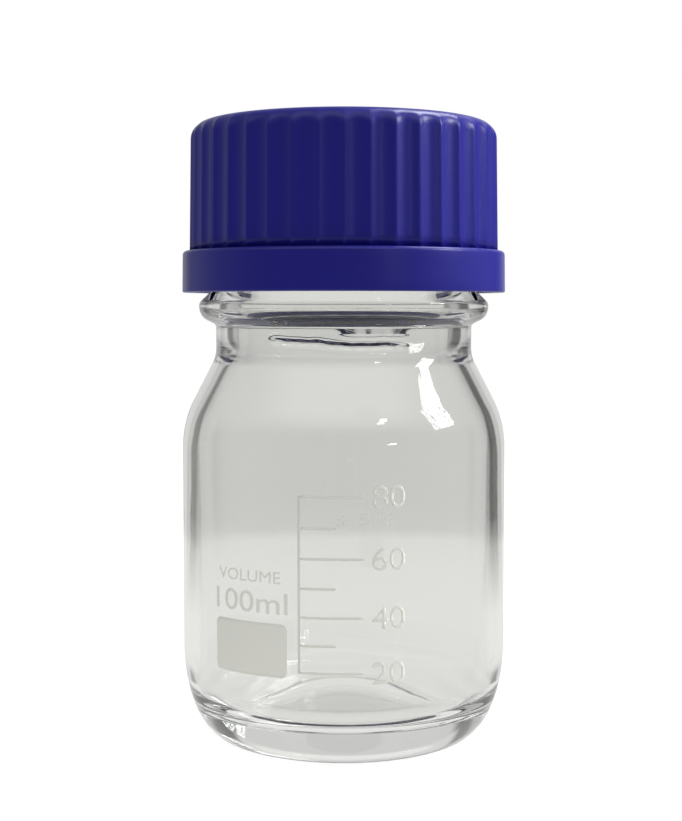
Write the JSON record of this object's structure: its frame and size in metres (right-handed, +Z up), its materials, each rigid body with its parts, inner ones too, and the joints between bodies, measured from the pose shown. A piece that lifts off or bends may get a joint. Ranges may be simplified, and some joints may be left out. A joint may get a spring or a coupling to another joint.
{
  "type": "reagent bottle",
  "caption": "Small clear glass laboratory bottle with a ribbed blue screw cap, pouring ring, cap liner and fired volume marks; the cap screws off.",
  "frame": {"origin": "on the bottle's axis in the plane it stands on", "axes": "+Z up along the bottle's axis; the upright volume line faces -Y"},
  "size_m": [0.056, 0.0561, 0.106],
  "materials": {
    "clear_glass": "clear thick borosilicate glass, smooth",
    "blue_cap": "deep blue moulded polypropylene, semi-gloss",
    "blue_ring": "deep blue moulded polypropylene, semi-gloss",
    "soft_liner": "deep blue soft sealing disc, satin",
    "fired_enamel": "off-white fired enamel, slightly raised, satin"
  },
  "bodies": {
    "bottle": {"glass_bottle": "clear_glass", "pouring_ring": "blue_ring", "graduation_scale": "fired_enamel", "scale_numerals": "fired_enamel", "capacity_mark": "fired_enamel", "caption_mark": "fired_enamel", "tolerance_mark": "fired_enamel", "writing_panel": "fired_enamel"},
    "liner": {"cap_liner": "soft_liner"},
    "cap": {"screw_cap": "blue_cap"}
  },
  "joints": [
    {"name": "cap_rise", "type": "slide", "parent": "bottle", "child": "liner", "axis": [0, 0, 1], "range_m": [0, 0.028]},
    {"name": "cap_turn", "type": "hinge", "parent": "liner", "child": "cap", "pos_m": [0, 0, 0.091], "axis": [0, 0, 1], "range_deg": [0, 2520]}
  ],
  "couplings": [
    {"joint": "cap_rise", "follows": "cap_turn", "m_per_rad": 0.00063662}
  ]
}
